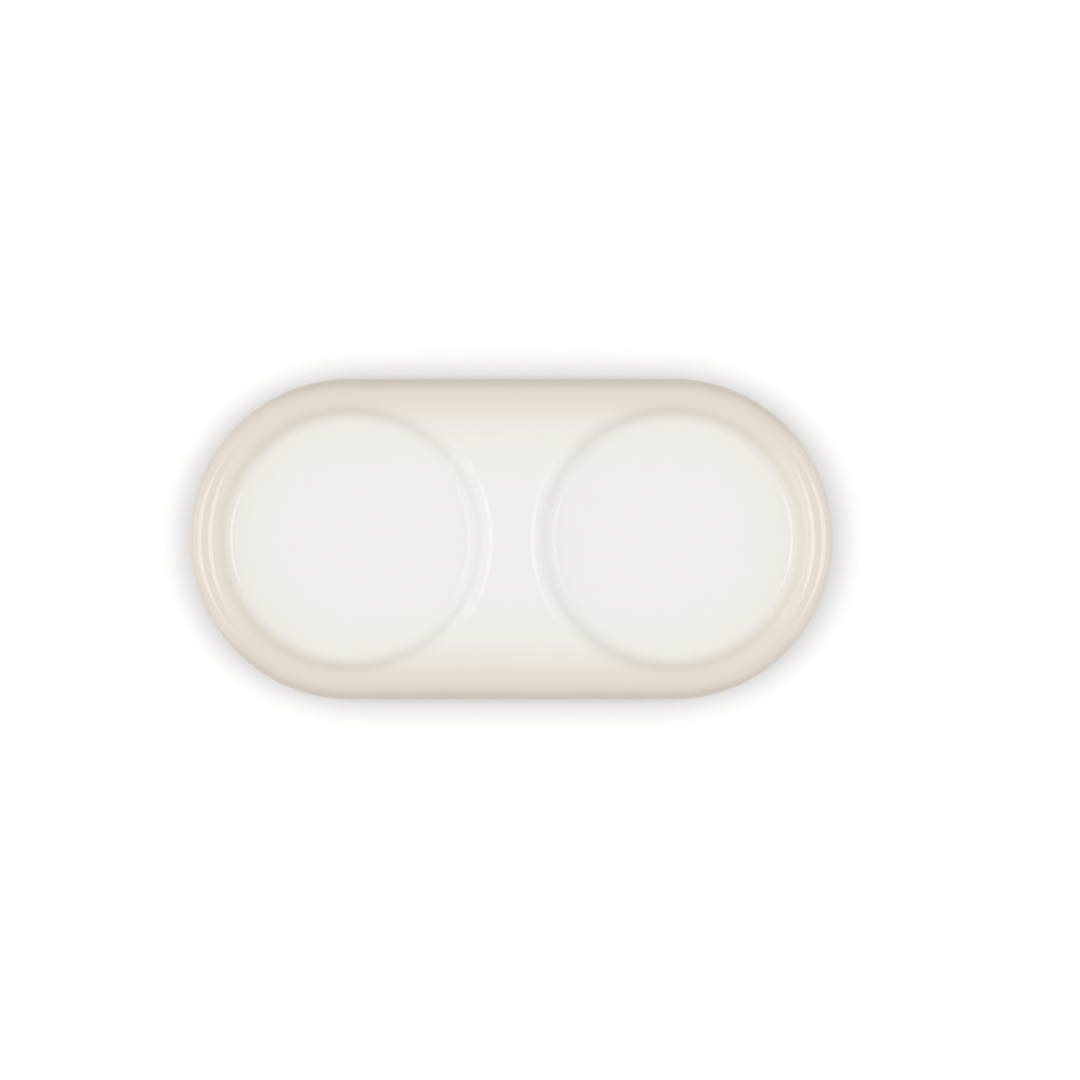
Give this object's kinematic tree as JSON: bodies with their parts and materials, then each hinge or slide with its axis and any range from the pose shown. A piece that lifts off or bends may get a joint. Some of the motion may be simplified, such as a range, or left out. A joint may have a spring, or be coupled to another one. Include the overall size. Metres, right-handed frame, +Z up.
{
  "type": "pepper mill tray",
  "caption": "Low glazed stoneware tray with round ends and a pair of shallow round wells in which table mills stand, on a bare foot ring.",
  "frame": {"origin": "middle of the tray, on the plane that its foot ring stands on", "axes": "+X along the tray through the centres of both wells, +Y across the tray, +Z up out of the wells"},
  "size_m": [0.1764, 0.088, 0.013],
  "materials": {
    "bare_stoneware": "matt, fine-grained fired clay",
    "cream_glaze": "glossy, off-white shading to beige at the edge"
  },
  "bodies": {
    "root": {"stoneware_body": "bare_stoneware", "top_glaze": "cream_glaze", "underside_glaze": "cream_glaze"}
  },
  "joints": []
}
